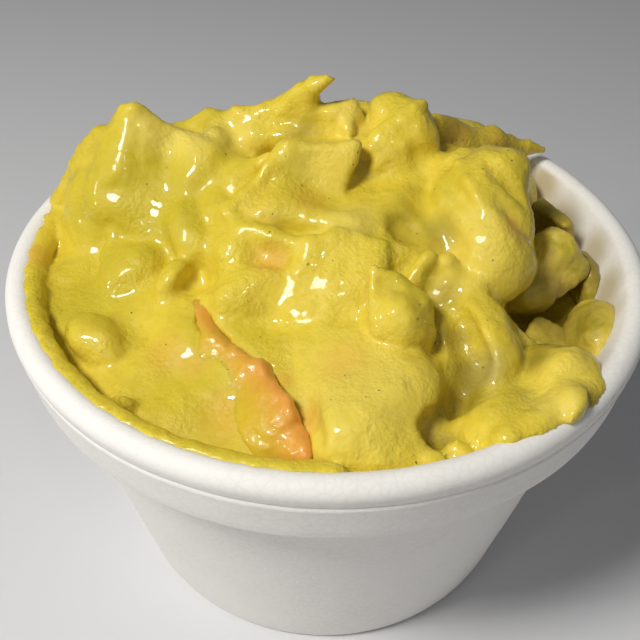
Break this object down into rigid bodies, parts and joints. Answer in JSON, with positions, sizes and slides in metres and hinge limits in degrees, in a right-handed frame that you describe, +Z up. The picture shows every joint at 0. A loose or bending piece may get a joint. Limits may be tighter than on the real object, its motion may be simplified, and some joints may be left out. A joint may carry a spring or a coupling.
{
  "type": "guacamole in a foam cup",
  "caption": "Chunky guacamole heaped above the rim of a squat round white foam cup, with avocado chunks and a piece of tomato showing in it.",
  "frame": {"origin": "middle of the cup's foot ring, on the surface it stands on", "axes": "+Z up along the cup's axis; -Y faces the viewer of the shown side; +X to that viewer's right"},
  "size_m": [0.09, 0.09, 0.0714],
  "materials": {
    "foam": "matt white expanded polystyrene",
    "guacamole": "wet, finely grainy mashed avocado",
    "tomato": "wet tomato flesh under a film of guacamole",
    "avocado": "wet, smooth avocado flesh"
  },
  "bodies": {
    "root": {"foam_cup": "foam", "guacamole": "guacamole", "tomato_piece": "tomato", "avocado_chunk_upper": "avocado", "avocado_chunk_middle": "avocado", "avocado_chunk_back": "avocado", "avocado_chunk_outer": "avocado", "avocado_chunk_side": "avocado"}
  },
  "joints": []
}
